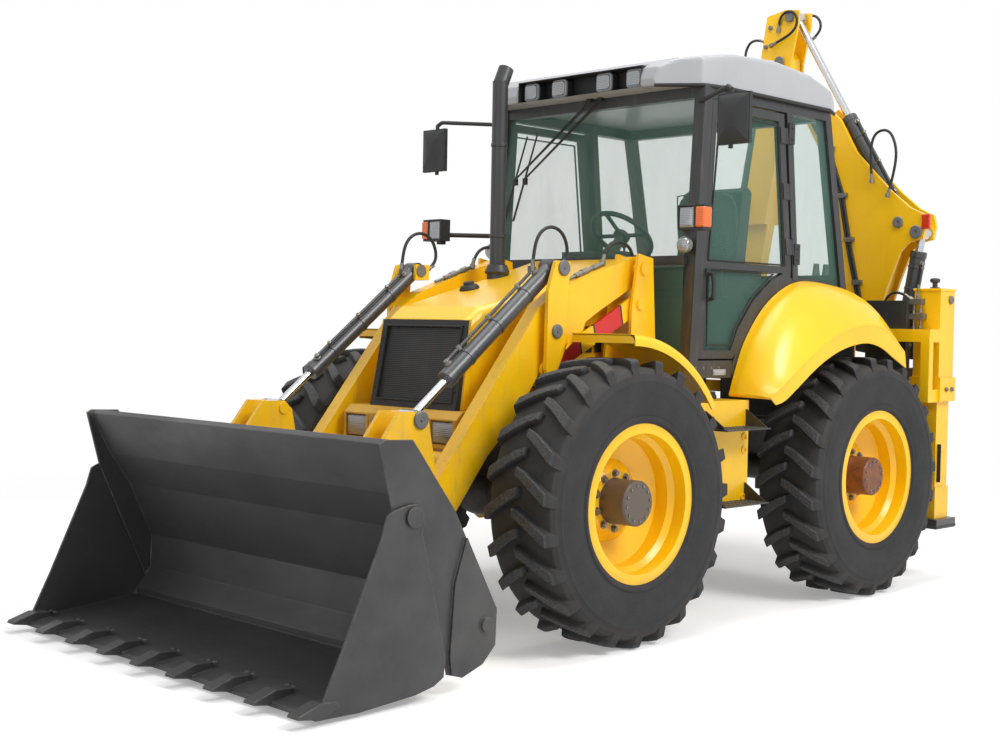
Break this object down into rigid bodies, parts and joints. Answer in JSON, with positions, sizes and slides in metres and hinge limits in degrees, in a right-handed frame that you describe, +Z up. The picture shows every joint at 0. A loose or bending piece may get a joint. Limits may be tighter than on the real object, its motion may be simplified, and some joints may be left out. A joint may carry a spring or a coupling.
{
  "type": "backhoe loader",
  "caption": "Wheeled backhoe loader: equal wheels, glazed cab, front loader arms with split bucket, rear side-shift digging arm folded upright, stabiliser legs.",
  "frame": {"origin": "on the ground, under the middle of the machine's length and width", "axes": "+X to the machine's left, +Y to its rear, +Z up; the loader bucket points along -Y"},
  "size_m": [2.46, 5.523, 3.8],
  "materials": {
    "yellow_paint": "satin",
    "dark_paint": "satin",
    "ram_paint": "satin",
    "roof_paint": "satin",
    "worn_paint": "worn",
    "chrome_rod": "polished",
    "tyre": "matte",
    "glass": "clear",
    "dark_plastic": "matte"
  },
  "bodies": {
    "root": {"axles": "dark_paint", "cab_fittings": "dark_paint", "cab_frame": "dark_paint", "cab_glass": "glass", "cab_interior": "dark_plastic", "cab_roof": "roof_paint", "engine_block": "dark_paint", "exhaust": "dark_paint", "fenders": "yellow_paint", "front_panel": "yellow_paint", "grille": "dark_paint", "hood": "yellow_paint", "loader_towers": "yellow_paint", "main_frame": "dark_paint", "rear_frame": "yellow_paint", "side_tanks": "yellow_paint", "steps": "dark_paint"},
    "left_door": {"door_left": "dark_paint", "door_glass_left": "glass"},
    "right_door": {"door_right": "dark_paint", "door_glass_right": "glass"},
    "arms": {"loader_arms": "yellow_paint"},
    "bellcranks": {"bellcranks": "yellow_paint", "tilt_pins": "dark_paint"},
    "levelling_links": {"levelling_links": "yellow_paint"},
    "tilt_barrels": {"tilt_barrels": "ram_paint"},
    "tilt_rods": {"tilt_rods": "chrome_rod"},
    "lift_barrels": {"lift_barrels": "ram_paint"},
    "lift_rods": {"lift_rods": "chrome_rod"},
    "bucket_pins": {"bucket_pins": "dark_paint"},
    "bucket": {"bucket_back": "worn_paint", "bucket_brackets": "yellow_paint"},
    "clam": {"bucket_clam": "worn_paint"},
    "carriage": {"carriage": "dark_paint"},
    "swing_post": {"swing_post": "dark_paint"},
    "boom": {"boom": "yellow_paint"},
    "boom_barrel": {"boom_barrel": "ram_paint"},
    "boom_rod": {"boom_rod": "chrome_rod"},
    "dipper": {"dipper": "yellow_paint"},
    "dipper_barrel": {"dipper_barrel": "ram_paint"},
    "dipper_rod": {"dipper_rod": "chrome_rod"},
    "hoe_bucket": {"hoe_bucket": "yellow_paint"},
    "guide_links": {"guide_links": "yellow_paint"},
    "bucket_link": {"bucket_link": "yellow_paint"},
    "hoe_barrel": {"hoe_barrel": "ram_paint"},
    "hoe_rod": {"hoe_rod": "chrome_rod"},
    "left_leg": {"leg_left": "yellow_paint"},
    "right_leg": {"leg_right": "yellow_paint"},
    "knuckle_fl": {"knuckle_fl": "dark_paint"},
    "wheel_fl": {"wheel_fl": "yellow_paint", "tyre_fl": "tyre"},
    "knuckle_fr": {"knuckle_fr": "dark_paint"},
    "wheel_fr": {"wheel_fr": "yellow_paint", "tyre_fr": "tyre"},
    "knuckle_rl": {"knuckle_rl": "dark_paint"},
    "wheel_rl": {"wheel_rl": "yellow_paint", "tyre_rl": "tyre"},
    "knuckle_rr": {"knuckle_rr": "dark_paint"},
    "wheel_rr": {"wheel_rr": "yellow_paint", "tyre_rr": "tyre"}
  },
  "joints": [
    {"name": "steer_fl", "type": "hinge", "parent": "root", "child": "knuckle_fl", "pos_m": [0.82, -0.6585, 0.705], "axis": [0, 0, 1], "range_deg": [-14, 14]},
    {"name": "spin_fl", "type": "hinge", "parent": "knuckle_fl", "child": "wheel_fl", "pos_m": [0.92, -0.6585, 0.705], "axis": [1, 0, 0], "continuous": true},
    {"name": "steer_fr", "type": "hinge", "parent": "root", "child": "knuckle_fr", "pos_m": [-0.82, -0.6585, 0.705], "axis": [0, 0, 1], "range_deg": [-14, 14]},
    {"name": "spin_fr", "type": "hinge", "parent": "knuckle_fr", "child": "wheel_fr", "pos_m": [-0.92, -0.6585, 0.705], "axis": [1, 0, 0], "continuous": true},
    {"name": "steer_rl", "type": "hinge", "parent": "root", "child": "knuckle_rl", "pos_m": [0.82, 1.5115, 0.705], "axis": [0, 0, 1], "range_deg": [-14, 14]},
    {"name": "spin_rl", "type": "hinge", "parent": "knuckle_rl", "child": "wheel_rl", "pos_m": [0.92, 1.5115, 0.705], "axis": [1, 0, 0], "continuous": true},
    {"name": "steer_rr", "type": "hinge", "parent": "root", "child": "knuckle_rr", "pos_m": [-0.82, 1.5115, 0.705], "axis": [0, 0, 1], "range_deg": [-14, 14]},
    {"name": "spin_rr", "type": "hinge", "parent": "knuckle_rr", "child": "wheel_rr", "pos_m": [-0.92, 1.5115, 0.705], "axis": [1, 0, 0], "continuous": true},
    {"name": "door_left", "type": "hinge", "parent": "root", "child": "left_door", "pos_m": [0.776, 1.0815, 1.915], "axis": [0, -0.1274, 0.9919], "range_deg": [0, 80]},
    {"name": "door_right", "type": "hinge", "parent": "root", "child": "right_door", "pos_m": [-0.776, 1.0815, 1.915], "axis": [0, 0.1274, -0.9919], "range_deg": [0, 80]},
    {"name": "lift", "type": "hinge", "parent": "root", "child": "arms", "pos_m": [0, -0.0735, 1.87], "axis": [-1, 0, 0], "range_deg": [0, 80]},
    {"name": "levelling_link", "type": "hinge", "parent": "root", "child": "levelling_links", "pos_m": [0, -0.1045, 1.679], "axis": [-1, 0, 0], "range_deg": [0, 80.5]},
    {"name": "bellcrank", "type": "hinge", "parent": "arms", "child": "bellcranks", "pos_m": [0, -0.7515, 1.531], "axis": [-1, 0, 0], "range_deg": [-80.5, 0]},
    {"name": "bucket_foot", "type": "hinge", "parent": "arms", "child": "bucket_pins", "pos_m": [0, -1.6185, 0.513], "axis": [1, 0, 0], "range_deg": [0, 37.64]},
    {"name": "tilt", "type": "hinge", "parent": "bucket_pins", "child": "bucket", "pos_m": [0, -1.6185, 0.513], "axis": [1, 0, 0], "range_deg": [-20, 60]},
    {"name": "tilt_barrel", "type": "hinge", "parent": "bellcranks", "child": "tilt_barrels", "pos_m": [0, -0.7085, 1.85], "axis": [-1, 0, 0], "range_deg": [0, 77.18]},
    {"name": "tilt_rod", "type": "slide", "parent": "tilt_barrels", "child": "tilt_rods", "axis": [0, -0.7852, -0.6192], "range_m": [-0.1571, 0.4652]},
    {"name": "clam", "type": "hinge", "parent": "bucket", "child": "clam", "pos_m": [0, -2.1825, 0.772], "axis": [-1, 0, 0], "range_deg": [0, 58]},
    {"name": "lift_barrel", "type": "hinge", "parent": "root", "child": "lift_barrels", "pos_m": [0, -0.2085, 0.5], "axis": [1, 0, 0], "range_deg": [-8.1, 0]},
    {"name": "lift_rod", "type": "slide", "parent": "lift_barrels", "child": "lift_rods", "axis": [0, -0.3748, 0.9271], "range_m": [0, 0.8614]},
    {"name": "sideshift", "type": "slide", "parent": "root", "child": "carriage", "axis": [-1, 0, 0], "range_m": [0, 1.5]},
    {"name": "swing", "type": "hinge", "parent": "carriage", "child": "swing_post", "pos_m": [0.8, 2.6115, 1.5], "axis": [0, 0, -1], "range_deg": [0, 180]},
    {"name": "boom", "type": "hinge", "parent": "swing_post", "child": "boom", "pos_m": [0.365, 2.6115, 1.5], "axis": [0, -1, 0], "range_deg": [0, 98]},
    {"name": "boom_barrel", "type": "hinge", "parent": "swing_post", "child": "boom_barrel", "pos_m": [0.64, 2.6115, 1.56], "axis": [0, -1, 0], "range_deg": [0, 90.81]},
    {"name": "boom_rod", "type": "slide", "parent": "boom_barrel", "child": "boom_rod", "axis": [0.1685, 0, 0.9857], "range_m": [0, 0.4226]},
    {"name": "dipper", "type": "hinge", "parent": "boom", "child": "dipper", "pos_m": [-0.335, 2.6115, 3.44], "axis": [0, 1, 0], "range_deg": [0, 105]},
    {"name": "dipper_barrel", "type": "hinge", "parent": "boom", "child": "dipper_barrel", "pos_m": [0.62, 2.6115, 2.283], "axis": [0, -1, 0], "range_deg": [-1.17, 0]},
    {"name": "dipper_rod", "type": "slide", "parent": "dipper_barrel", "child": "dipper_rod", "axis": [-0.514, 0, 0.8578], "range_m": [-0.5048, 0]},
    {"name": "hoe", "type": "hinge", "parent": "dipper", "child": "hoe_bucket", "pos_m": [-0.59, 2.6115, 1.76], "axis": [0, 1, 0], "range_deg": [0, 130]},
    {"name": "guide", "type": "hinge", "parent": "dipper", "child": "guide_links", "pos_m": [-0.58, 2.6115, 1.99], "axis": [0, -1, 0], "range_deg": [-78.02, 0]},
    {"name": "bucket_link", "type": "hinge", "parent": "hoe_bucket", "child": "bucket_link", "pos_m": [-0.614, 2.6115, 1.592], "axis": [0, -1, 0], "range_deg": [0, 102.99]},
    {"name": "hoe_barrel", "type": "hinge", "parent": "dipper", "child": "hoe_barrel", "pos_m": [-0.541, 2.6115, 3.24], "axis": [0, -1, 0], "range_deg": [-5.66, 0]},
    {"name": "hoe_rod", "type": "slide", "parent": "hoe_barrel", "child": "hoe_rod", "axis": [-0.1727, 0, -0.985], "range_m": [-0.3256, 0]},
    {"name": "leg_left", "type": "slide", "parent": "root", "child": "left_leg", "axis": [0, 0, -1], "range_m": [0, 0.56]},
    {"name": "leg_right", "type": "slide", "parent": "root", "child": "right_leg", "axis": [0, 0, -1], "range_m": [0, 0.56]}
  ],
  "couplings": [
    {"joint": "steer_fr", "follows": "steer_fl", "ratio": 1},
    {"joint": "steer_rr", "follows": "steer_rl", "ratio": 1},
    {"joint": "levelling_link", "follows": "lift", "ratio": 1},
    {"joint": "bellcrank", "follows": "lift", "ratio": -1},
    {"joint": "bucket_foot", "follows": "lift", "ratio": 0.4643},
    {"joint": "tilt_barrel", "follows": "lift", "ratio": 0.9585},
    {"joint": "tilt_rod", "follows": "tilt", "m_per_rad": 0.4414},
    {"joint": "lift_barrel", "follows": "lift", "ratio": -0.095},
    {"joint": "lift_rod", "follows": "lift", "m_per_rad": 0.6148},
    {"joint": "boom_barrel", "follows": "boom", "ratio": 0.9215},
    {"joint": "boom_rod", "follows": "boom", "m_per_rad": 0.2453},
    {"joint": "dipper_barrel", "follows": "dipper", "ratio": -0.0064},
    {"joint": "dipper_rod", "follows": "dipper", "m_per_rad": -0.2738},
    {"joint": "guide", "follows": "hoe", "ratio": -0.5963},
    {"joint": "bucket_link", "follows": "hoe", "ratio": 0.7884},
    {"joint": "hoe_barrel", "follows": "hoe", "ratio": -0.0397},
    {"joint": "hoe_rod", "follows": "hoe", "m_per_rad": -0.1422}
  ]
}
